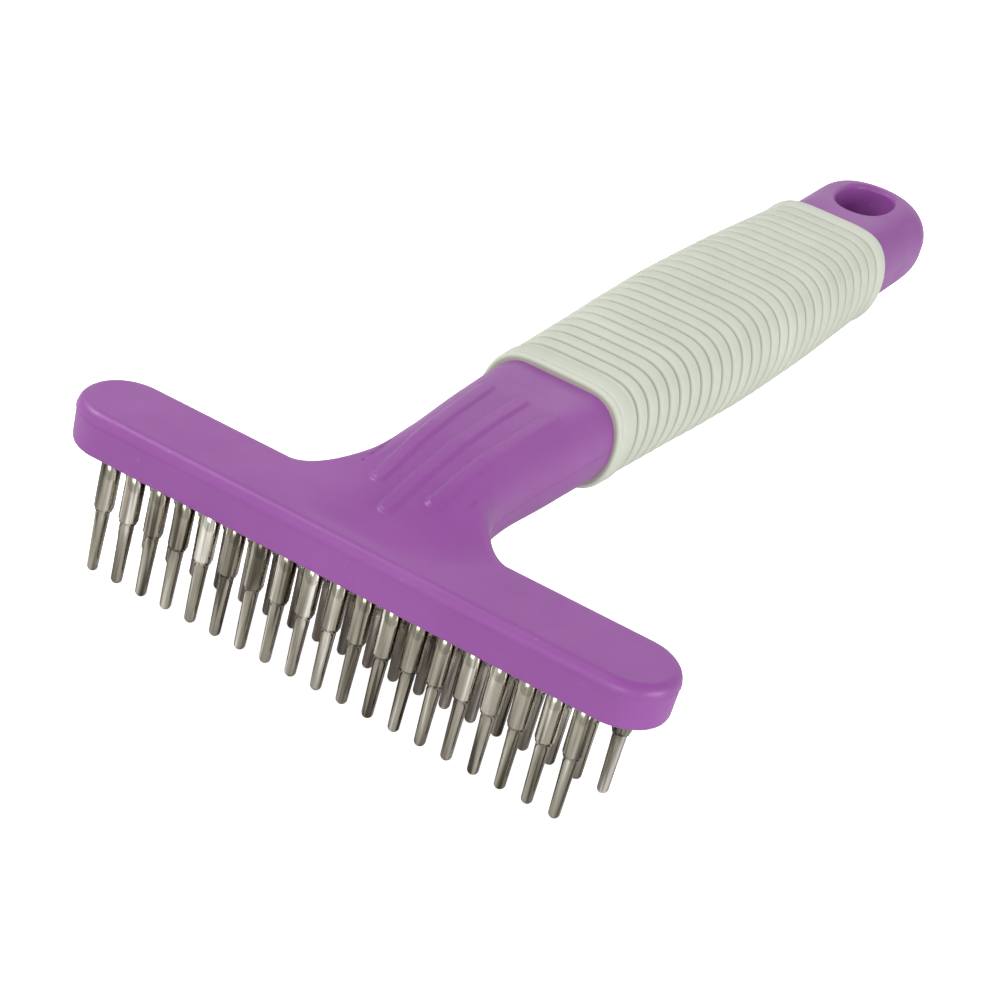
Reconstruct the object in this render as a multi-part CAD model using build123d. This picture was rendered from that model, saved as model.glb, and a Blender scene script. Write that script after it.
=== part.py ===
from build123d import *
import math
import os

# Undercoat rake: a one-piece moulded body, a ribbed rubber grip and two staggered rows of
# turning pins, each held in a drawn metal sleeve.  Millimetres, +Z up, the pins point down and
# the handle runs along +Y.  Everything is drawn with the front row of pins on Y = 0 and moved
# at the end, so that the origin is the centre of the bounding box's bottom face.

# ---- driving dimensions -------------------------------------------------------------------
pin_pitch = 4.53            # centre to centre along a row
row_gap = 11.0              # front row to back row
front_count = 19
back_count = 20

sleeve_mouth_z = 10.8       # lower end of the sleeves, above the pin tips
head_bottom_z = 19.1
parting_z = 24.4            # mould parting line around the side wall
head_top_z = 26.3
head_half_length = 50.9
head_wall = 2.2             # from a row's centre line to the wall beside it
head_end_radius = 7.5       # plan radius of the bar's corners
head_top_round = 1.7
head_foot_round = 0.35
head_draft = 2.0            # degrees, below the parting line
parting_step = 0.08
flare_reach = 20.5          # half width of the flare where it leaves the bar
flare_length = 15.0         # from the bar's back edge to where the flare meets the neck
flare_inset = 1.0           # the flare runs in under the neck's side by this much
flare_blend = 3.0

sleeve_radius = 1.55
sleeve_bore_radius = 1.32
sleeve_mouth_radius = 1.16
sleeve_mouth_length = 0.7
sleeve_mouth_round = 0.3
sleeve_roof = 0.3           # closed top of the drawn sleeve
sleeve_root = 4.8           # length of sleeve held in the head

running_gap = 0.05          # radial clearance of a turning pin
end_play = 0.05             # axial clearance at each end of a turning pin
pin_tip_radius = 0.88
pin_straight = 1.0          # straight neck below the sleeve's mouth

handle_drop = 2.6           # degrees that the handle drops towards its end
grip_start_y = 60.3
grip_start_z = 23.9
grip_length = 118.2
grip_rib_pitch = 3.80       # at the front; the ribs widen towards the end
grip_rib_growth = 0.023     # added to each further rib
grip_first_groove = 7.0     # front edge of the grip to its first groove
grip_groove_count = 27
grip_groove_width = 0.8
grip_groove_depth = 0.55

hole_width = 10.8           # the hanging hole is a slot along the handle
hole_length = 16.6
hole_from_grip = 17.8       # rear edge of the grip to the hanging hole's centre
end_radius = 12.3           # plan radius of the handle's end
end_from_grip = 23.0        # rear edge of the grip to the centre of that radius
end_angles = (0, 22, 42, 58, 71, 81, 87)    # stations around the end, degrees
end_dome_power = 0.75       # how the end's height falls off with its width

thumb_rib_width = 2.6
thumb_rib_height = 0.45
# Each thumb rib's two ends, X and Y.
thumb_ribs = (((-4.8, 14.2), (-6.0, 47.5)), ((0.0, 9.0), (0.0, 47.5)), ((4.8, 14.2), (6.0, 47.5)))

outline_points = 32         # points in one handle section
side_power = 4.6            # exponents of the handle's oval section
flat_power = 1.95

overall_middle_y = 105.7     # middle of the overall length, which becomes the origin

# Neck stations in front of the grip: Y, top, underside, half width.
neck_stations = (
    (2.0, 26.0, 19.5, 8.0),
    (6.0, 27.2, 19.4, 10.0),
    (10.0, 28.2, 19.3, 11.0),
    (14.0, 29.1, 19.1, 11.3),
    (20.0, 30.3, 18.7, 11.0),
    (31.5, 31.8, 17.5, 10.8),
    (45.0, 32.1, 16.6, 11.4),
)
# Stations along the handle's axis, from the front edge of the grip: distance, half width,
# half height.
core_front = (0.0, 12.1, 7.8)
core_stations = ((6.0, 12.15, 7.9), (30.0, 12.3, 8.2), (60.0, 12.9, 8.5), (90.0, 12.6, 8.5))
core_rear = (grip_length, 12.1, 8.4)
skin_stations = (
    (0.0, 12.9, 8.9),
    (25.0, 13.7, 9.55),
    (40.0, 14.4, 9.75),
    (60.0, 14.8, 10.1),
    (80.0, 14.7, 10.0),
    (100.0, 14.1, 9.8),
    (grip_length, 13.5, 9.4),
)
# Stations between the grip and the handle's end: distance behind the grip, half width, half
# height, lift of the middle above the handle's axis.
end_neck = ((6.0, 12.15, 8.5, 0.15), (12.0, 12.2, 8.6, 0.3), (18.0, 12.25, 8.7, 0.5))
end_half_height = 8.8
end_lift = 0.6              # the end's middle stands this much above the handle's axis

front_edge_y = -head_wall
back_edge_y = row_gap + head_wall
sleeve_top_z = head_bottom_z + sleeve_root
pin_neck_radius = sleeve_mouth_radius - running_gap
pin_head_radius = sleeve_bore_radius - running_gap
pin_shoulder_z = sleeve_mouth_z + sleeve_mouth_length + end_play
pin_top_z = sleeve_top_z - sleeve_roof - end_play
drop = math.radians(handle_drop)
handle_direction = Vector(0, math.cos(drop), -math.sin(drop))


# ---- section planes and ovals -------------------------------------------------------------
def handle_plane(distance, lift=0.0):
    """Plane square to the handle's axis, at a distance from the front edge of the grip."""
    start = Vector(0, grip_start_y, grip_start_z + lift)
    return Plane(start + handle_direction * distance, x_dir=(1, 0, 0), z_dir=handle_direction)


def signed_power(value, power):
    return math.copysign(abs(value) ** power, value)


def oval(plane, half_width, half_height):
    """Flat-topped oval wire in a plane."""
    points = []
    for i in range(outline_points):
        angle = 2 * math.pi * (i + 0.5) / outline_points
        across = half_width * signed_power(math.cos(angle), 2 / side_power)
        up = half_height * signed_power(math.sin(angle), 2 / flat_power)
        points.append(plane.from_local_coords(Vector(across, up)))
    return Wire([Edge.make_spline(points, periodic=True)])


def handle_oval(station, grow=0.0, lift=0.0):
    distance, half_width, half_height = station
    return oval(handle_plane(distance, lift), half_width + grow, half_height + grow)


def neck_wires(grow=0.0):
    wires = []
    for y, top, underside, half_width in neck_stations:
        plane = Plane((0, y, (top + underside) / 2), x_dir=(1, 0, 0), z_dir=(0, 1, 0))
        wires.append(oval(plane, half_width + grow, (top - underside) / 2 + grow))
    wires.append(handle_oval(core_front, grow))
    wires.append(handle_oval(core_stations[0], grow))
    return wires


# ---- moulded body -------------------------------------------------------------------------
def head_plan(inset):
    """Plan of the cross bar with the flares that run into the neck, set in by inset."""
    length = 2 * (head_half_length - inset)
    depth = back_edge_y - front_edge_y - 2 * inset
    corner = head_end_radius - inset
    bar = Pos(0, (front_edge_y + back_edge_y) / 2) * RectangleRounded(length, depth, corner)
    reach = flare_reach - inset
    base_y = back_edge_y - inset
    tip_y = back_edge_y + flare_length
    waist = neck_stations[-2][-1] - flare_inset
    right = Spline((reach, base_y), (waist, tip_y), tangents=((-1, 0), (0, 1)))
    across = Line((waist, tip_y), (-waist, tip_y))
    left = mirror(right, Plane.YZ)
    foot = Polyline((-reach, base_y), (-reach, row_gap / 2), (reach, row_gap / 2), (reach, base_y))
    return bar + make_face(right + across + left + foot)


def head_bar():
    upper = extrude(Pos(0, 0, parting_z) * head_plan(0), head_top_z - parting_z)
    upper = fillet(upper.edges().group_by(Axis.Z)[-1], head_top_round)
    lower = extrude(Pos(0, 0, parting_z) * head_plan(parting_step),
                    head_bottom_z - parting_z, taper=head_draft)
    lower = fillet(lower.edges().group_by(Axis.Z)[0], head_foot_round)
    return upper + lower


def handle_core():
    stations = core_stations + (core_rear,)
    return Solid.make_loft([handle_oval(s) for s in stations])


def handle_end():
    """Straight stretch behind the grip and an end whose stations follow a half circle in plan."""
    wires = [handle_oval(core_rear)]
    for behind, half_width, half_height, lift in end_neck:
        wires.append(handle_oval((grip_length + behind, half_width, half_height), lift=lift))
    centre = grip_length + end_from_grip
    for degrees in end_angles:
        angle = math.radians(degrees)
        shrink = math.cos(angle)
        station = (centre + end_radius * math.sin(angle), end_radius * shrink,
                   end_half_height * shrink ** end_dome_power)
        wires.append(handle_oval(station, lift=end_lift))
    return Solid.make_loft(wires)


def hanging_hole():
    """Upright slot through the handle's end, as a tool that runs past both faces."""
    centre = handle_plane(grip_length + hole_from_grip).origin
    plan = Pos(centre) * SlotOverall(hole_length, hole_width, rotation=90)
    return extrude(plan, 2 * end_half_height, both=True)


def thumb_rib(front, rear):
    """Raised rib that follows the top of the neck from its front end to its rear end."""
    start, end = Vector(*front), Vector(*rear)
    middle = (start + end) / 2
    turn = math.degrees(math.atan2(end.Y - start.Y, end.X - start.X))
    plan = Pos(middle.X, middle.Y, grip_start_z) * SlotOverall(
        (end - start).length, thumb_rib_width, rotation=turn)
    return extrude(plan, head_top_z) & Solid.make_loft(neck_wires(thumb_rib_height))


def sleeve_places():
    """Centres of the sleeves of the front row and of the back row."""
    front = [((i - (front_count - 1) / 2) * pin_pitch, 0.0) for i in range(front_count)]
    back = [((i - (back_count - 1) / 2) * pin_pitch, row_gap) for i in range(back_count)]
    return front, back


def neck_seam(front):
    """Edges where the neck rises out of the flat top of the cross bar."""
    nearly = 0.05
    seam = []
    for edge in front.edges():
        box = edge.bounding_box()
        flat = box.max.Z - box.min.Z < nearly and abs(box.max.Z - head_top_z) < nearly
        inside_rim = box.min.Y > front_edge_y + 2 * head_top_round
        if flat and inside_rim and edge.geom_type == GeomType.BSPLINE:
            seam.append(edge)
    return seam


def rake_body(places):
    front = head_bar() + Solid.make_loft(neck_wires())
    front = fillet(neck_seam(front), flare_blend)
    body = front + handle_core() + handle_end() - hanging_hole()
    for front_end, rear_end in thumb_ribs:
        body = body + thumb_rib(front_end, rear_end)
    pocket = Pos(0, 0, head_bottom_z) * Cylinder(
        sleeve_radius, sleeve_root, align=(Align.CENTER, Align.CENTER, Align.MIN))
    return body - [Pos(x, y) * pocket for x, y in places]


# ---- rubber grip --------------------------------------------------------------------------
def skin_size(distance):
    """Half width and half height of the ribs' crests at a distance along the grip."""
    for (d0, w0, h0), (d1, w1, h1) in zip(skin_stations, skin_stations[1:]):
        if distance <= d1:
            share = (distance - d0) / (d1 - d0)
            return w0 + share * (w1 - w0), h0 + share * (h1 - h0)
    return skin_stations[-1][1:]


def groove_ring(index):
    """Flat ring that cuts one groove around the grip."""
    distance = grip_first_groove + index * grip_rib_pitch + index * (index - 1) / 2 * grip_rib_growth
    half_width, half_height = skin_size(distance)
    plane = handle_plane(distance - grip_groove_width / 2)
    floor = oval(plane, half_width - grip_groove_depth, half_height - grip_groove_depth)
    rim = Wire.make_circle(2 * half_width, plane)
    return Solid.extrude(Face(rim, [floor]), handle_direction * grip_groove_width)


def grip_sleeve(body):
    skin = Solid.make_loft([handle_oval(s) for s in skin_stations])
    skin = skin.cut(*[groove_ring(i) for i in range(grip_groove_count)])
    return skin - body


# ---- sleeves and turning pins -------------------------------------------------------------
def pin_sleeve():
    """Drawn sleeve with a closed top and a mouth turned in around the pin."""
    bore_z = sleeve_mouth_z + sleeve_mouth_length
    sketch = Polyline((sleeve_mouth_radius, sleeve_mouth_z), (sleeve_radius, sleeve_mouth_z),
                      (sleeve_radius, sleeve_top_z), (0, sleeve_top_z),
                      (0, sleeve_top_z - sleeve_roof), (sleeve_bore_radius, sleeve_top_z - sleeve_roof),
                      (sleeve_bore_radius, bore_z), (sleeve_mouth_radius, bore_z), close=True)
    tube = revolve(Plane.XZ * make_face(sketch))
    foot = tube.edges().filter_by(GeomType.CIRCLE).group_by(Axis.Z)[0].sort_by(SortBy.RADIUS)[-1]
    return fillet(foot, sleeve_mouth_round)


def turning_pin():
    """Pin with a round tip, a tapered shank and a thicker head held inside the sleeve."""
    centre_z = pin_tip_radius
    tip_end = (pin_tip_radius, centre_z)
    tip = ThreePointArc((0, 0), (pin_tip_radius * math.sin(math.pi / 4),
                                 centre_z - pin_tip_radius * math.cos(math.pi / 4)), tip_end)
    side = Polyline(tip_end, (pin_neck_radius, sleeve_mouth_z - pin_straight),
                    (pin_neck_radius, pin_shoulder_z), (pin_head_radius, pin_shoulder_z),
                    (pin_head_radius, pin_top_z), (0, pin_top_z), (0, 0))
    return revolve(Plane.XZ * make_face(tip + side))


def moved(solid, x, y):
    return Pos(x, y - overall_middle_y) * solid


def save(name, shape):
    export_step(shape, f"parts/{name}.step")


def main():
    os.makedirs("parts", exist_ok=True)
    front, back = sleeve_places()
    body = rake_body(front + back)
    grip = grip_sleeve(body)
    save("rake_body", moved(body, 0, 0))
    save("grip_sleeve", moved(grip, 0, 0))
    sleeve = pin_sleeve()
    pin = turning_pin()
    for row, places in (("front", front), ("back", back)):
        save(f"{row}_row_sleeves", Compound([moved(sleeve, x, y) for x, y in places]))
        for number, (x, y) in enumerate(places, start=1):
            save(f"{row}_pin_{number:02d}", moved(pin, x, y))


main()
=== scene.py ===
import math

import bpy
import numpy as np
from mathutils import Euler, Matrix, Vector


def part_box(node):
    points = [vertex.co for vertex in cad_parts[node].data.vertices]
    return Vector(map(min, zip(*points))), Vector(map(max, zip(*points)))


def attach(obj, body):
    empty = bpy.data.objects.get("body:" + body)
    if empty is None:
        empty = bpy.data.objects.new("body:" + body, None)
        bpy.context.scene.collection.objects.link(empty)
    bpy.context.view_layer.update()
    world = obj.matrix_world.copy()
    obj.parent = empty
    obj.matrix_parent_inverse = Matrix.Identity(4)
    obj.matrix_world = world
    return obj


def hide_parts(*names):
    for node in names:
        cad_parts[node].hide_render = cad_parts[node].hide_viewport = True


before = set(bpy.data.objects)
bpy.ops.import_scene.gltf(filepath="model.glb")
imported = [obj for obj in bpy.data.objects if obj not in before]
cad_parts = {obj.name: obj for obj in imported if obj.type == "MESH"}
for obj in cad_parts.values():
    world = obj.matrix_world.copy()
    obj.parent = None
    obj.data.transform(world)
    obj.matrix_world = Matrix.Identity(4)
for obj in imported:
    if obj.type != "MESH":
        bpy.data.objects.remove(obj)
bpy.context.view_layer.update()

# The CAD bodies fix every size and place.  Shapes are worked out here in millimetres, with the
# front row of pins on Y = 0, and moved into the frame when their meshes are made.
MM = 0.001


def node_box_mm(node):
    low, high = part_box(node)
    return np.array(low) / MM, np.array(high) / MM


FRONT_PINS = sorted(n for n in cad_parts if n.startswith("front_pin"))
BACK_PINS = sorted(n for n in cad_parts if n.startswith("back_pin"))
PIN_LOW, PIN_HIGH = node_box_mm(FRONT_PINS[0])
SLEEVE_LOW, SLEEVE_HIGH = node_box_mm("front_row_sleeves")
BODY_LOW, BODY_HIGH = node_box_mm("rake_body")
ROW_Y = (PIN_LOW[1] + PIN_HIGH[1]) / 2          # the front row in the frame
ROW_GAP = node_box_mm(BACK_PINS[0])[0][1] - PIN_LOW[1]

# ---- driving dimensions, mm ---------------------------------------------------------------
wall_inset = 0.15           # leaves the parting ridge inside the CAD body's box
head_half_length = BODY_HIGH[0] - wall_inset
head_front = BODY_LOW[1] - ROW_Y + wall_inset
head_back = ROW_GAP - head_front
head_corner = 7.5
head_top = 26.3
parting_height = 24.4
head_draft = math.tan(math.radians(2.0))
draft_reach = 8             # the draft stops this far below the parting line
draft_fade = (14, 30)       # and fades away between these two places along the neck
ridge_proud = 0.09          # the parting ridge
ridge_half_height = 0.26
ridge_root = 0.2            # how deep it is set in the wall
ridge_wander = 0.05         # how far it strays up and down
flash_proud = 0.04
ridge_stride = 0.4
under_grip = 2.0            # the ridge runs this far in under the grip

flare_across = 9.5          # the concave flare between bar and neck: reach along the bar
flare_along = 14.0          # and along the neck
flare_depth = 2.0           # how far inside the outline the flare is still worked out
neck_overlap = 3.0          # the neck starts this far inside the bar's back wall
saddle_flat = 2.0           # half width of the level top of the saddle

handle_drop = math.radians(2.6)
grip_start = 60.3
axis_height = 23.9          # height of the handle's axis at the front edge of the grip
grip_length = 118.2
end_radius = 12.3
end_centre = grip_start + (grip_length + 23.0) * math.cos(handle_drop)
hole_width = 10.8           # the hanging hole is a slot along the handle
hole_length = 16.6
hole_power = 2.3            # between an ellipse and a slot with half-round ends
hole_centre = grip_start + (grip_length + 17.8) * math.cos(handle_drop)
hole_round = 0.9

rib_width = 2.6
rib_height = 0.42
rib_edge = (-0.5, 0.2)      # a rib's side rises between these distances from its edge
# Each thumb rib's two ends: (across, behind the front row).
thumb_ribs = (((-4.8, 14.2), (-6.0, 47.5)), ((0.0, 9.0), (0.0, 47.5)), ((4.8, 14.2), (6.0, 47.5)))

first_groove = 7.0
groove_count = 27
groove_pitch = 3.80
groove_growth = 0.023
groove_depth = 0.72
groove_half_width = 0.38
groove_power = 2.4
groove_shoulder = (0.10, 0.95)      # depth and half width of the dip around each groove
front_band = (4.4, 5.0)     # where the front band's step falls, from the grip's front edge
front_band_proud = 0.22
front_line = (1.35, 0.22, 0.22)     # place, half width and depth of the line round the front band
front_edge_round = 0.75
collar = (4.4, 3.0)         # where the rear collar rises, from the grip's rear edge
collar_proud = 0.32
collar_round = 1.3
mean_section = (14.2, 9.8)          # half width and half height that space the points round the grip
grip_bore = (11.8, 7.4)     # half width and half height of the inside of the grip
sleeve_radius = (SLEEVE_HIGH[1] - SLEEVE_LOW[1]) / 2
pin_head = (PIN_HIGH[1] - PIN_LOW[1]) / 2
pin_neck = 1.11
pin_tip = 0.88
pin_tip_flatness = 0.92
pin_taper_end = 2.2         # the tapered shank ends this far below the sleeve's mouth
pin_taper_step = 0.06
pin_straight = 1.0          # and the straight neck starts here
running_gap = 0.05
mouth_lip = 0.13            # radius of the rolled mouth
mouth_edge = 0.16           # the mouth's hole starts this far above the lip's underside
mouth_thickness = 0.7
pin_seat = 0.8              # the pin's head stands this far above the mouth
shoulder_radius = 0.62
shoulder_height = 0.72
wall_bead = ((0.02, 1.1), (0.0, 1.3))       # where the shoulder runs out into the wall: inset, height
turned_sides = 40

camera_place = (0.14207, -0.30464, 0.22299)     # metres from the middle of the front row

grip_points = 168           # points around the grip
grip_power_across = 4.8
grip_power_up = 1.9

# Lines along the handle: (distance behind the front row, value).
half_width_line = ((5, 11.3), (14, 11.2), (22, 10.8), (31, 10.75), (45, 11.4), (60, 12.05), (105, 12.6),
                   (150, 12.4), (178, 12.1), (188, 12.2), (end_centre, end_radius))
top_line = ((-10, 26.3), (1, 26.3), (6, 27.2), (10, 28.15), (14.5, 29.15), (20, 30.2), (31.5, 31.7),
            (45, 32.0), (60, 31.7), (105, 30.2), (150, 28.2), (178, 26.9), (200, 26.7), (213, 25.6))
foot_line = ((-10, 19.1), (12, 19.1), (20, 18.6), (31.5, 17.5), (45, 16.6), (60, 16.1), (105, 13.4),
             (150, 11.3), (178, 10.1), (198, 9.5), (213, 10.6))
side_round_line = ((-10, 1.75), (12, 1.75), (22, 4.2), (32, 5.6), (60, 6.0), (178, 6.4), (212, 8.5))
top_round_line = ((-10, 1.75), (12, 1.75), (22, 4.6), (32, 6.4), (60, 7.6), (181, 8.2), (212, 7.5))
foot_side_line = ((-10, 0.4), (12, 0.4), (22, 3.5), (32, 5.5), (60, 6.0), (181, 6.0), (212, 6.5))
foot_round_line = ((-10, 0.4), (12, 0.4), (22, 4.0), (32, 6.4), (60, 7.6), (181, 8.2), (212, 7.5))
saddle_line = ((-10, 13), (4, 14), (8, 16.5), (14, 20), (20, 27), (28, 50), (40, 100), (60, 220), (212, 800))
# Along the grip, from its front edge: (distance, half width or half height at the ribs' crests).
skin_width_line = ((0, 12.9), (25, 13.7), (40, 14.4), (60, 14.8), (80, 14.7), (100, 14.1),
                   (grip_length, 13.5))
skin_height_line = ((0, 8.9), (25, 9.5), (40, 9.75), (60, 10.1), (80, 10.0), (100, 9.8),
                    (grip_length, 9.4))


def smooth_line(line, at):
    """Value of a line at positions: a cubic through its points with no overshoot."""
    xs, ys = np.array(line, float).T
    slope = np.diff(ys) / np.diff(xs)
    tangent = np.zeros_like(ys)
    same = slope[1:] * slope[:-1] > 0
    mean = 2 * slope[1:] * slope[:-1] / np.where(same, slope[1:] + slope[:-1], 1)
    tangent[1:-1] = np.where(same, mean, 0)
    tangent[0], tangent[-1] = slope[0], slope[-1]
    at = np.clip(at, xs[0], xs[-1])
    i = np.clip(np.searchsorted(xs, at) - 1, 0, len(xs) - 2)
    h = xs[i + 1] - xs[i]
    t = (at - xs[i]) / h
    return (ys[i] * (1 + 2 * t) * (1 - t) ** 2 + tangent[i] * h * t * (1 - t) ** 2
            + ys[i + 1] * t * t * (3 - 2 * t) + tangent[i + 1] * h * t * t * (t - 1))


def smoothstep(low, high, value):
    t = np.clip((value - low) / (high - low), 0, 1)
    return t * t * (3 - 2 * t)


# ---- moulded body as a distance field -----------------------------------------------------
def plan_distance(x, y):
    """Distance outside the body's plan outline; negative inside."""
    x = np.abs(x)
    qx = x - (head_half_length - head_corner)
    qy = np.abs(y - (head_front + head_back) / 2) - ((head_back - head_front) / 2 - head_corner)
    bar = np.hypot(np.maximum(qx, 0), np.maximum(qy, 0)) + np.minimum(np.maximum(qx, qy), 0) - head_corner
    strip = x - smooth_line(half_width_line, y)
    strip = np.where(y < end_centre, strip, np.hypot(x, y - end_centre) - end_radius)
    start = head_back - neck_overlap
    strip = np.where(y < start, np.maximum(strip, 2 * (start - y)), strip)
    a, b = bar / flare_along, strip / flare_across
    joined = np.maximum(1, np.minimum(a, b)) - np.hypot(np.maximum(1 - a, 0), np.maximum(1 - b, 0))
    near = np.minimum(bar, strip)
    in_flare = (a < 1) & (b < 1) & (near > -flare_depth)
    return np.where(in_flare, np.minimum(joined * flare_across, near), near)


def top_height(x, y):
    """Height of the body's top: the handle's crown falls away sideways, and the ribs stand on it."""
    rise = smooth_line(top_line, y) - head_top
    reach = smooth_line(saddle_line, y)
    aside = np.clip((np.abs(x) - saddle_flat) / (reach - saddle_flat), 0, 1)
    height = head_top + rise * (0.5 + 0.5 * np.cos(np.pi * aside))
    inner, outer = rib_width / 2 + rib_edge[0], rib_width / 2 + rib_edge[1]
    for front, rear in thumb_ribs:
        rib = 1 - smoothstep(inner, outer, capsule_distance(x, y, front, rear))
        height = height + rib_height * rib
    return height


def capsule_distance(x, y, start, end):
    """Distance from the line between a rib's two end centres."""
    dx, dy = end[0] - start[0], end[1] - start[1]
    share = np.clip(((x - start[0]) * dx + (y - start[1]) * dy) / (dx * dx + dy * dy), 0, 1)
    return np.hypot(x - start[0] - share * dx, y - start[1] - share * dy)


def rounded_max(a, b, reach_a, reach_b):
    """Meeting of two half spaces with an elliptical rounding, exact on the surface."""
    u, v = a / reach_a + 1, b / reach_b + 1
    reach = np.minimum(reach_a, reach_b)
    deepest = np.maximum(u, v)
    corner = np.hypot(np.maximum(u, 0), np.maximum(v, 0)) - 1
    return np.minimum(deepest, 0) * reach + np.where(deepest > 0, corner, -1) * reach


def body_field(x, y, z):
    """Zero on the moulded body's surface and negative inside it."""
    plan = plan_distance(x, y)
    below = np.clip(parting_height - z, 0, draft_reach)
    drafted = plan + head_draft * below * (1 - smoothstep(*draft_fade, y))
    upper = rounded_max(plan, z - top_height(x, y), smooth_line(side_round_line, y),
                        smooth_line(top_round_line, y))
    lower = rounded_max(drafted, smooth_line(foot_line, y) - z, smooth_line(foot_side_line, y),
                        smooth_line(foot_round_line, y))
    solid = np.maximum(upper, lower)
    oval = (np.abs(2 * x / hole_width) ** hole_power
            + np.abs(2 * (y - hole_centre) / hole_length) ** hole_power) ** (1 / hole_power)
    bore = hole_width / 2 * (1 - oval)
    return rounded_max(solid, bore, hole_round, hole_round)


def surface_net(field, low, high, step):
    """Quad mesh of the surface where a field is zero: one vertex in each grid cell it crosses."""
    axes = [np.arange(a, b + step, step) for a, b in zip(low, high)]
    values = field(axes[0][:, None, None], axes[1][None, :, None], axes[2][None, None, :])
    inside = values < 0
    corners = [(i, j, k) for i in (0, 1) for j in (0, 1) for k in (0, 1)]
    size = np.array(values.shape) - 1

    def shifted(array, corner):
        return array[tuple(slice(c, c + n) for c, n in zip(corner, size))]

    count = sum(shifted(inside, c).astype(np.int8) for c in corners)
    cells = np.argwhere((count > 0) & (count < 8))
    number = np.full(size, -1)
    number[tuple(cells.T)] = np.arange(len(cells))
    at_corner = {c: values[tuple((cells + c).T)] for c in corners}
    total = np.zeros((len(cells), 3))
    crossings = np.zeros(len(cells))
    for a in corners:
        for axis in range(3):
            if a[axis] == 1:
                continue
            b = tuple(v + (i == axis) for i, v in enumerate(a))
            fa, fb = at_corner[a], at_corner[b]
            crossed = (fa < 0) != (fb < 0)
            share = np.where(crossed, fa / np.where(crossed, fa - fb, 1), 0)
            point = np.array(a, float)[None, :].repeat(len(cells), 0)
            point[:, axis] += share
            total += np.where(crossed[:, None], point, 0)
            crossings += crossed
    points = (cells + total / crossings[:, None]) * step + np.array(low)
    quads = []
    for axis in range(3):
        u, v = (axis + 1) % 3, (axis + 2) % 3
        first = [slice(None)] * 3
        second = [slice(None)] * 3
        first[axis], second[axis] = slice(0, -1), slice(1, None)
        edges = np.argwhere(inside[tuple(first)] != inside[tuple(second)])
        edges = edges[(edges[:, u] > 0) & (edges[:, v] > 0)]
        around = []
        for du, dv in ((1, 1), (0, 1), (0, 0), (1, 0)):
            cell = edges.copy()
            cell[:, u] -= du
            cell[:, v] -= dv
            around.append(number[tuple(cell.T)])
        quad = np.stack(around, 1)
        leaving = inside[tuple(edges.T)]
        quads.append(np.where(leaving[:, None], quad, quad[:, ::-1]))
    return points, np.concatenate(quads)


def gradient(field, points, reach=0.02):
    slopes = []
    for axis in range(3):
        offset = np.zeros(3)
        offset[axis] = reach
        slopes.append(field(*(points + offset).T) - field(*(points - offset).T))
    return np.stack(slopes, 1) / (2 * reach)


def settle(field, points, rounds=4):
    """Moves points onto the surface along the field's slope."""
    for _ in range(rounds):
        slope = gradient(field, points)
        length2 = np.maximum((slope ** 2).sum(1), 1e-3)
        step = np.clip(field(*points.T) / length2, -0.5, 0.5)
        points = points - step[:, None] * slope
    return points


def relaxed(points, quads):
    """Each point at the mean of its neighbours along the quads' edges."""
    total = np.zeros_like(points)
    count = np.zeros(len(points))
    for i in range(4):
        a, b = quads[:, i], quads[:, (i + 1) % 4]
        np.add.at(total, a, points[b])
        np.add.at(total, b, points[a])
        np.add.at(count, a, 1)
        np.add.at(count, b, 1)
    return total / count[:, None]


def mesh_object(name, points, faces, material):
    mesh = bpy.data.meshes.new(name)
    faces = [[int(corner) for corner in face] for face in faces]
    mesh.from_pydata((np.asarray(points) + [0, ROW_Y, 0]) * MM, [], faces)
    mesh.polygons.foreach_set("use_smooth", np.ones(len(mesh.polygons), bool))
    mesh.materials.append(material)
    obj = bpy.data.objects.new(name, mesh)
    bpy.context.scene.collection.objects.link(obj)
    return obj


def make_body(material):
    step = 0.42
    margin, top_margin = 1.3, 2.3
    low = BODY_LOW - [margin, ROW_Y + margin, margin]
    high = BODY_HIGH + [margin, margin - ROW_Y, top_margin]
    points, quads = surface_net(body_field, low, high, step)
    for _ in range(2):
        points = settle(body_field, relaxed(points, quads))
    body = mesh_object("moulded_body", points, quads, material)
    normals = gradient(body_field, points)
    normals /= np.linalg.norm(normals, axis=1)[:, None]
    body.data.normals_split_custom_set_from_vertices(normals.tolist())
    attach(body, "rake")
    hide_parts("rake_body")


def parting_trace():
    """Points around the right half of the body at the height of the mould's parting line."""
    point = np.array([[0.0, head_front, parting_height]])
    trace = []
    while point[0, 1] < grip_start + under_grip:
        for _ in range(2):
            slope = gradient(body_field, point) * [1, 1, 0]
            point = point - body_field(*point.T)[:, None] * slope / (slope ** 2).sum()
        outward = slope[0] / np.linalg.norm(slope)
        trace.append((point[0], outward))
        point = point + ridge_stride * np.array([[-outward[1], outward[0], 0]])
    return trace


def ridge_section(i, point, outward):
    """Crest, upper and lower root of the ridge.  Slow waves vary it and decide where flash stands."""
    flash = max(0.0, math.sin(0.37 * i) * math.sin(0.113 * i + 1.0) * math.sin(0.051 * i + 0.4) - 0.35)
    proud = ridge_proud * (1 + 0.35 * math.sin(1.9 * i) * math.sin(0.23 * i)) + flash_proud * flash
    centre = point + [0, 0, ridge_wander * math.sin(0.06 * i)]
    root = centre - outward * ridge_root
    return [centre + outward * proud, root + [0, 0, ridge_half_height], root - [0, 0, ridge_half_height]]


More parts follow.
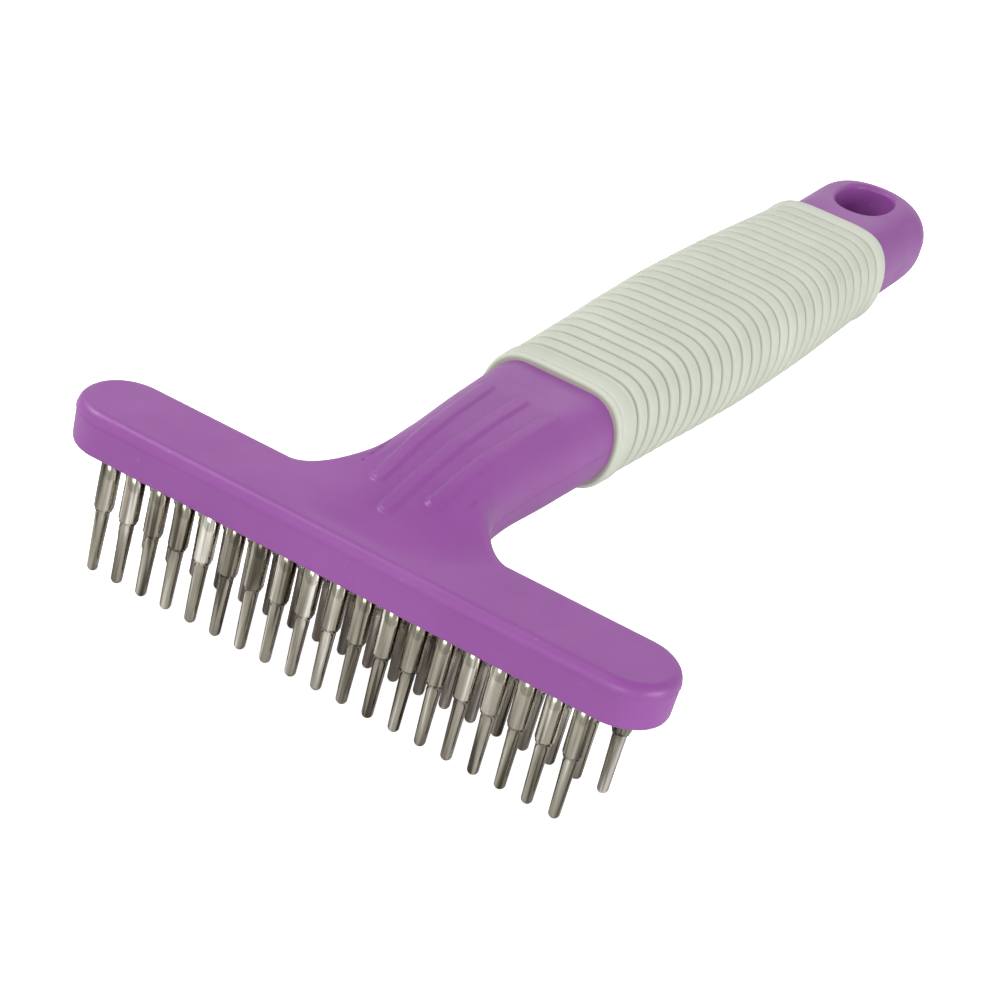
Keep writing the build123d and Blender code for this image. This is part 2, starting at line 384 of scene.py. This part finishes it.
def make_parting_ridge(material):
    """The fine ridge that the mould's two halves leave around the side wall, with bits of flash."""
    half = parting_trace()
    mirrored = [(point * [-1, 1, 1], outward * [-1, 1, 1]) for point, outward in reversed(half[1:])]
    line = mirrored + half
    points = []
    for i, (point, outward) in enumerate(line):
        points += ridge_section(i, point, outward)
    faces = [(3 * i + k, 3 * i + (k + 1) % 3, 3 * i + 3 + (k + 1) % 3, 3 * i + 3 + k)
             for i in range(len(line) - 1) for k in range(3)]
    last = 3 * (len(line) - 1)
    faces += [(2, 1, 0), (last, last + 1, last + 2)]
    ridge = mesh_object("parting_ridge", points, faces, material)
    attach(ridge, "rake")


# ---- rubber grip --------------------------------------------------------------------------
def groove_places():
    return [first_groove + k * groove_pitch + k * (k - 1) / 2 * groove_growth for k in range(groove_count)]


def edge_fall(distance, radius):
    """How far a rounded edge falls back at a distance from the end."""
    return radius * (1 - math.sqrt(1 - (1 - min(distance, radius) / radius) ** 2))


def grip_relief(distance):
    """How far the grip's surface stands off the crest line at a distance from its front edge."""
    grooves = np.array(groove_places())
    away = np.abs(distance - grooves).min()
    relief = -groove_depth * math.exp(-(away / groove_half_width) ** groove_power)
    dip, dip_width = groove_shoulder
    relief -= dip * math.exp(-(away / dip_width) ** 2)
    if distance < first_groove:
        place, half_width, depth = front_line
        relief += front_band_proud * (1 - smoothstep(*front_band, distance))
        relief -= depth * math.exp(-((distance - place) / half_width) ** 2)
        relief -= edge_fall(distance, front_edge_round)
    if distance > grooves[-1]:
        rear = grip_length - distance
        relief += collar_proud * smoothstep(*collar, rear)
        relief -= edge_fall(rear, collar_round)
    return relief


def even_angles(half_width, half_height):
    """Angles that space points evenly around the grip's oval section."""
    angles = np.linspace(0, 2 * np.pi, 4001)
    ring = oval_points(angles, half_width, half_height)
    length = np.concatenate([[0], np.cumsum(np.linalg.norm(np.diff(ring, axis=0), axis=1))])
    return np.interp(np.arange(grip_points) / grip_points * length[-1], length, angles)


def oval_points(angles, half_width, half_height):
    c, s = np.cos(angles), np.sin(angles)
    across = half_width * np.sign(c) * np.abs(c) ** (2 / grip_power_across)
    up = half_height * np.sign(s) * np.abs(s) ** (2 / grip_power_up)
    return np.stack([across, up], 1)


def grip_ring(angles, distance, half_width, half_height):
    """Ring of points square to the handle's axis."""
    flat = oval_points(angles, half_width, half_height)
    along = grip_start + distance * math.cos(handle_drop) + flat[:, 1] * math.sin(handle_drop)
    height = axis_height - distance * math.sin(handle_drop) + flat[:, 1] * math.cos(handle_drop)
    return np.stack([flat[:, 0], along, height], 1)


def grip_stations():
    """Distances along the grip that need a ring of points: close at its edges and in its grooves."""
    near = (-0.95, -0.7, -0.5, -0.36, -0.24, -0.12, 0, 0.12, 0.24, 0.36, 0.5, 0.7, 0.95)
    stations = {0.0, 0.03, 0.12, 0.28, 0.5, 0.8, 1.05, 1.2, 1.35, 1.5, 1.7, 2.4, 3.4, 4.4, 4.8, 5.1, 5.4, 5.8}
    stations |= {grip_length - d for d in (0, 0.03, 0.12, 0.3, 0.6, 1.0, 1.4, 2.0, 2.7, 3.4, 3.9, 4.3, 4.7)}
    grooves = groove_places()
    for place, following in zip(grooves, grooves[1:] + [grip_length]):
        stations |= {place + d for d in near}
        if following < grip_length:
            stations |= {place + (following - place) * share for share in (0.38, 0.5, 0.62)}
    return sorted(stations)


def make_grip(material):
    angles = even_angles(*mean_section)
    stations = grip_stations()
    rings = []
    for distance in stations:
        relief = grip_relief(distance)
        rings.append(grip_ring(angles, distance, smooth_line(skin_width_line, distance) + relief,
                               smooth_line(skin_height_line, distance) + relief))
    for distance in (grip_length, grip_length / 2, 0.0):
        rings.append(grip_ring(angles, distance, *grip_bore))
    n = grip_points
    faces = []
    for r in range(len(rings)):
        after = (r + 1) % len(rings)
        faces += [(r * n + i, r * n + (i + 1) % n, after * n + (i + 1) % n, after * n + i) for i in range(n)]
    grip = mesh_object("ribbed_grip", np.concatenate(rings), faces, material)
    # How deep each point lies in a groove; the rubber turns this into painted shade.
    shade = np.zeros(len(rings) * n)
    for r, distance in enumerate(stations):
        shade[r * n:(r + 1) * n] = np.clip(-grip_relief(distance) / groove_depth, 0, 1)
    grip.data.attributes.new("groove", "FLOAT", "POINT").data.foreach_set("value", shade)
    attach(grip, "rake")
    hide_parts("grip_sleeve")


# ---- sleeves and turning pins -------------------------------------------------------------
def lathe_row(profile, centres, name, material):
    """One mesh: a profile of (radius, height) points turned about an upright axis at each centre."""
    points, faces = [], []
    for cx, cy in centres:
        base = len(points)
        for radius, height in profile:
            for k in range(turned_sides):
                angle = 2 * math.pi * k / turned_sides
                points.append((cx + radius * math.cos(angle), cy + radius * math.sin(angle), height))
        n = turned_sides
        for r in range(len(profile) - 1):
            ring = base + r * n
            faces += [(ring + k, ring + (k + 1) % n, ring + n + (k + 1) % n, ring + n + k) for k in range(n)]
        faces.append(tuple(base + k for k in reversed(range(n))))
        faces.append(tuple(base + (len(profile) - 1) * n + k for k in range(n)))
    piece = mesh_object(name, points, faces, material)
    for polygon in piece.data.polygons:
        polygon.use_smooth = len(polygon.vertices) == 4
    return piece


def arc(centre_r, centre_z, radius, start, end, steps):
    """Points of an arc in a profile, from start to end degrees."""
    angles = [math.radians(start + (end - start) * k / steps) for k in range(steps + 1)]
    return [(centre_r + radius * math.cos(a), centre_z + radius * math.sin(a)) for a in angles]


def sleeve_profile():
    """Drawn sleeve: a closed bore, a rolled mouth around the pin, a shoulder and a straight wall."""
    radius, mouth, top = sleeve_radius, SLEEVE_LOW[2], SLEEVE_HIGH[2]
    inner = pin_neck + running_gap
    bore = pin_head + running_gap
    profile = [(bore, PIN_HIGH[2] + running_gap), (bore, mouth + mouth_thickness)]
    profile += [(inner, mouth + mouth_thickness), (inner, mouth + mouth_edge)]
    profile += arc(inner + mouth_lip, mouth + mouth_lip, mouth_lip, 180, 300, 5)
    profile += arc(radius - shoulder_radius, mouth + shoulder_height, shoulder_radius, -62, 0, 7)
    profile += [(radius - inset, mouth + height) for inset, height in wall_bead]
    return profile + [(radius, top)]


def pin_profile():
    """Pin that shows below its sleeve: a round tip, a tapered shank and a straight neck."""
    tip, mouth = pin_tip, SLEEVE_LOW[2]
    profile = [(r, max(z, 0.0)) for r, z in arc(0, tip * pin_tip_flatness, tip, -88, 0, 9)]
    profile += [(pin_neck - pin_taper_step, mouth - pin_taper_end), (pin_neck, mouth - pin_straight)]
    profile += [(pin_neck, mouth + pin_seat), (pin_head, mouth + pin_seat)]
    return profile + [(pin_head, PIN_HIGH[2])]


def make_sleeves(row, pins, material):
    """One row: its fixed sleeves as one piece, and each pin as a piece that turns on its own body."""
    centres = []
    for node in pins:
        low, high = node_box_mm(node)
        centres.append(((low[0] + high[0]) / 2, (low[1] + high[1]) / 2 - ROW_Y))
    sleeves = lathe_row(sleeve_profile(), centres, row + "_sleeves", material)
    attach(sleeves, "rake")
    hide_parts(row + "_row_sleeves")
    for node, centre in zip(pins, centres):
        pin = lathe_row(pin_profile(), [centre], node.replace("_pin_", "_turning_pin_"), material)
        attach(pin, node + "_body")
        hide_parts(node)


# ---- materials ----------------------------------------------------------------------------
class Nodes:
    """A new material with short ways to add nodes to its tree."""

    def __init__(self, name):
        self.material = bpy.data.materials.new(name)
        self.material.use_nodes = True
        self.tree = self.material.node_tree
        self.shader = self.tree.nodes["Principled BSDF"]
        self.coords = self.tree.nodes.new("ShaderNodeTexCoord").outputs["Object"]

    def link(self, a, b):
        self.tree.links.new(a, b)

    def noise(self, scale, detail=3.0, roughness=0.55, stretch=None):
        source = self.coords
        if stretch:
            mapping = self.tree.nodes.new("ShaderNodeMapping")
            mapping.inputs["Scale"].default_value = stretch
            self.link(source, mapping.inputs["Vector"])
            source = mapping.outputs["Vector"]
        noise = self.tree.nodes.new("ShaderNodeTexNoise")
        noise.inputs["Scale"].default_value = scale
        noise.inputs["Detail"].default_value = detail
        noise.inputs["Roughness"].default_value = roughness
        self.link(source, noise.inputs["Vector"])
        return noise.outputs["Fac"]

    def ramp(self, source, *stops):
        ramp = self.tree.nodes.new("ShaderNodeValToRGB")
        elements = ramp.color_ramp.elements
        while len(elements) < len(stops):
            elements.new(0.5)
        for element, (place, colour) in zip(elements, stops):
            element.position = place
            element.color = (*colour, 1)
        self.link(source, ramp.inputs["Fac"])
        return ramp.outputs["Color"]

    def span(self, source, low, high, from_low=0.3, from_high=0.7):
        node = self.tree.nodes.new("ShaderNodeMapRange")
        ends = {"From Min": from_low, "From Max": from_high, "To Min": low, "To Max": high}
        for key, value in ends.items():
            node.inputs[key].default_value = value
        self.link(source, node.inputs["Value"])
        return node.outputs["Result"]

    def mix(self, factor, a, b, mode="MIX"):
        node = self.tree.nodes.new("ShaderNodeMix")
        node.data_type = "RGBA"
        node.blend_type = mode
        for socket, value in ((node.inputs["Factor"], factor), (node.inputs[6], a), (node.inputs[7], b)):
            if isinstance(value, (int, float)):
                socket.default_value = value
            elif isinstance(value, tuple):
                socket.default_value = (*value, 1)
            else:
                self.link(value, socket)
        return node.outputs[2]

    def bump(self, height, distance, strength=1.0):
        node = self.tree.nodes.new("ShaderNodeBump")
        node.inputs["Distance"].default_value = distance
        node.inputs["Strength"].default_value = strength
        self.link(height, node.inputs["Height"])
        previous = self.shader.inputs["Normal"].links
        if previous:
            self.link(previous[0].from_socket, node.inputs["Normal"])
        self.link(node.outputs["Normal"], self.shader.inputs["Normal"])


def violet_plastic():
    n = Nodes("violet_plastic")
    colour = n.ramp(n.noise(45, 2), (0.35, (0.262, 0.068, 0.300)), (0.65, (0.286, 0.077, 0.326)))
    speck = n.span(n.noise(950, 1), 0.0, 0.55, 0.74, 0.80)
    n.link(n.mix(speck, colour, (0.34, 0.14, 0.37)), n.shader.inputs["Base Color"])
    n.link(n.span(n.noise(160, 4), 0.36, 0.46), n.shader.inputs["Roughness"])
    n.shader.inputs["Specular IOR Level"].default_value = 0.42
    n.bump(n.noise(2600, 2), 0.00002, 0.35)
    n.bump(n.noise(60, 2), 0.0003, 0.10)
    return n.material


def pale_rubber():
    n = Nodes("pale_rubber")
    groove = n.tree.nodes.new("ShaderNodeAttribute")
    groove.attribute_name = "groove"
    colour = n.ramp(n.noise(60, 3), (0.3, (0.56, 0.59, 0.505)), (0.7, (0.62, 0.65, 0.56)))
    # Painted shade: the colour darkens toward the bottom of each groove.
    groove_shade = n.span(groove.outputs["Fac"], 0.0, 0.85, 0.10, 1.0)
    colour = n.mix(groove_shade, colour, (0.27, 0.275, 0.17))
    speck = n.span(n.noise(700, 1), 0.0, 0.5, 0.78, 0.82)
    n.link(n.mix(speck, colour, (0.25, 0.24, 0.17)), n.shader.inputs["Base Color"])
    n.link(n.span(n.noise(300, 4), 0.50, 0.64), n.shader.inputs["Roughness"])
    n.shader.inputs["Specular IOR Level"].default_value = 0.4
    n.bump(n.noise(1800, 3), 0.00004, 0.4)
    n.bump(n.noise(220, 2), 0.00012, 0.25)
    return n.material


def plated_steel():
    """Nickel plate with the draw marks that run along the sleeves and pins, and along them light and dark
    streaks of painted reflection in the base colour.
    """
    n = Nodes("plated_steel")
    n.shader.inputs["Metallic"].default_value = 1.0
    draw_marks_and_reflection_streaks = n.noise(1000, 2, 0.5, (1.0, 1.0, 0.03))
    fine = n.noise(2600, 2, 0.5, (1.0, 1.0, 0.04))
    # Painted reflection: along the draw marks the base colour runs from near black to near white, standing in
    # for the floor and the neighbouring pins mirrored in the plate.
    colour = n.ramp(draw_marks_and_reflection_streaks, (0.36, (0.09, 0.08, 0.06)), (0.45, (0.34, 0.315, 0.25)),
                    (0.56, (0.47, 0.44, 0.365)), (0.66, (0.92, 0.89, 0.80)))
    colour = n.mix(n.span(fine, 0.0, 0.45, 0.45, 0.75), colour, (0.12, 0.11, 0.08))
    n.link(colour, n.shader.inputs["Base Color"])
    n.link(n.span(n.noise(700, 4), 0.08, 0.17), n.shader.inputs["Roughness"])
    n.bump(draw_marks_and_reflection_streaks, 0.00004, 0.5)
    return n.material


# ---- placing, lights and camera -----------------------------------------------------------
def add_camera():
    azimuth, elevation, roll = math.radians(21.815), math.radians(28.788), math.radians(-15.531)
    back = Vector((math.sin(azimuth) * math.cos(elevation), -math.cos(azimuth) * math.cos(elevation),
                   math.sin(elevation)))
    data = bpy.data.cameras.new("camera")
    data.sensor_width = 36
    data.lens = 99.04
    data.clip_start = 0.01
    data.clip_end = 10
    camera = bpy.data.objects.new("camera", data)
    level = back.to_track_quat("Z", "Y")
    camera.rotation_mode = "QUATERNION"
    camera.rotation_quaternion = level @ Euler((0, 0, -roll)).to_quaternion()
    camera.location = (camera_place[0], ROW_Y * MM + camera_place[1], camera_place[2])
    bpy.context.scene.collection.objects.link(camera)
    bpy.context.scene.camera = camera


def area_light(name, place, aim, size, power):
    data = bpy.data.lights.new(name, "AREA")
    data.shape = "RECTANGLE"
    data.size, data.size_y = size
    data.energy = power
    light = bpy.data.objects.new(name, data)
    light.location = place
    light.rotation_mode = "QUATERNION"
    light.rotation_quaternion = (Vector(place) - Vector(aim)).to_track_quat("Z", "Y")
    bpy.context.scene.collection.objects.link(light)


def add_floor():
    size = 3.0
    mesh = bpy.data.meshes.new("floor")
    corners = [(-size, -size, 0), (size, -size, 0), (size, size, 0), (-size, size, 0)]
    mesh.from_pydata(corners, [], [(0, 1, 2, 3)])
    n = Nodes("pale_floor")
    n.shader.inputs["Base Color"].default_value = (0.88, 0.88, 0.88, 1)
    n.shader.inputs["Roughness"].default_value = 0.9
    n.shader.inputs["Specular IOR Level"].default_value = 0.0
    n.shader.inputs["Emission Color"].default_value = (1, 1, 1, 1)
    # The floor stays white in the picture and keeps its shadows in the pins' reflections.
    seen = n.tree.nodes.new("ShaderNodeLightPath").outputs["Is Camera Ray"]
    n.link(n.span(seen, 0.0, 0.85, 0.0, 1.0), n.shader.inputs["Emission Strength"])
    mesh.materials.append(n.material)
    floor = bpy.data.objects.new("floor", mesh)
    bpy.context.scene.collection.objects.link(floor)


def add_lights():
    """Soft studio: a sky brighter near the horizon, a key at the upper left, and three soft fills."""
    world = bpy.data.worlds.new("studio")
    bpy.context.scene.world = world
    world.use_nodes = True
    tree = world.node_tree
    coords = tree.nodes.new("ShaderNodeTexCoord")
    axes = tree.nodes.new("ShaderNodeSeparateXYZ")
    height = tree.nodes.new("ShaderNodeMapRange")
    for key, value in (("From Min", 0.3), ("From Max", 0.8), ("To Min", 0.68), ("To Max", 0.24)):
        height.inputs[key].default_value = value
    tree.links.new(coords.outputs["Generated"], axes.inputs["Vector"])
    tree.links.new(axes.outputs["Z"], height.inputs["Value"])
    tree.links.new(height.outputs["Result"], tree.nodes["Background"].inputs["Strength"])
    tree.nodes["Background"].inputs["Color"].default_value = (1, 1, 1, 1)
    aim = (0, 0, 0.02)
    area_light("key", (-0.75, -0.15, 0.95), aim, (0.45, 0.45), 7.5)
    area_light("front", (0.15, -1.2, 0.55), aim, (0.7, 0.5), 6)
    area_light("side", (1.2, -0.1, 0.35), aim, (0.6, 0.5), 7)
    area_light("backdrop", (-0.5, 1.3, 0.75), aim, (1.6, 0.8), 2.5)


violet = violet_plastic()
rubber = pale_rubber()
steel = plated_steel()
make_body(violet)
make_parting_ridge(violet)
make_grip(rubber)
make_sleeves("front", FRONT_PINS, steel)
make_sleeves("back", BACK_PINS, steel)

bpy.context.scene.view_settings.view_transform = "Standard"
add_floor()
add_lights()
add_camera()
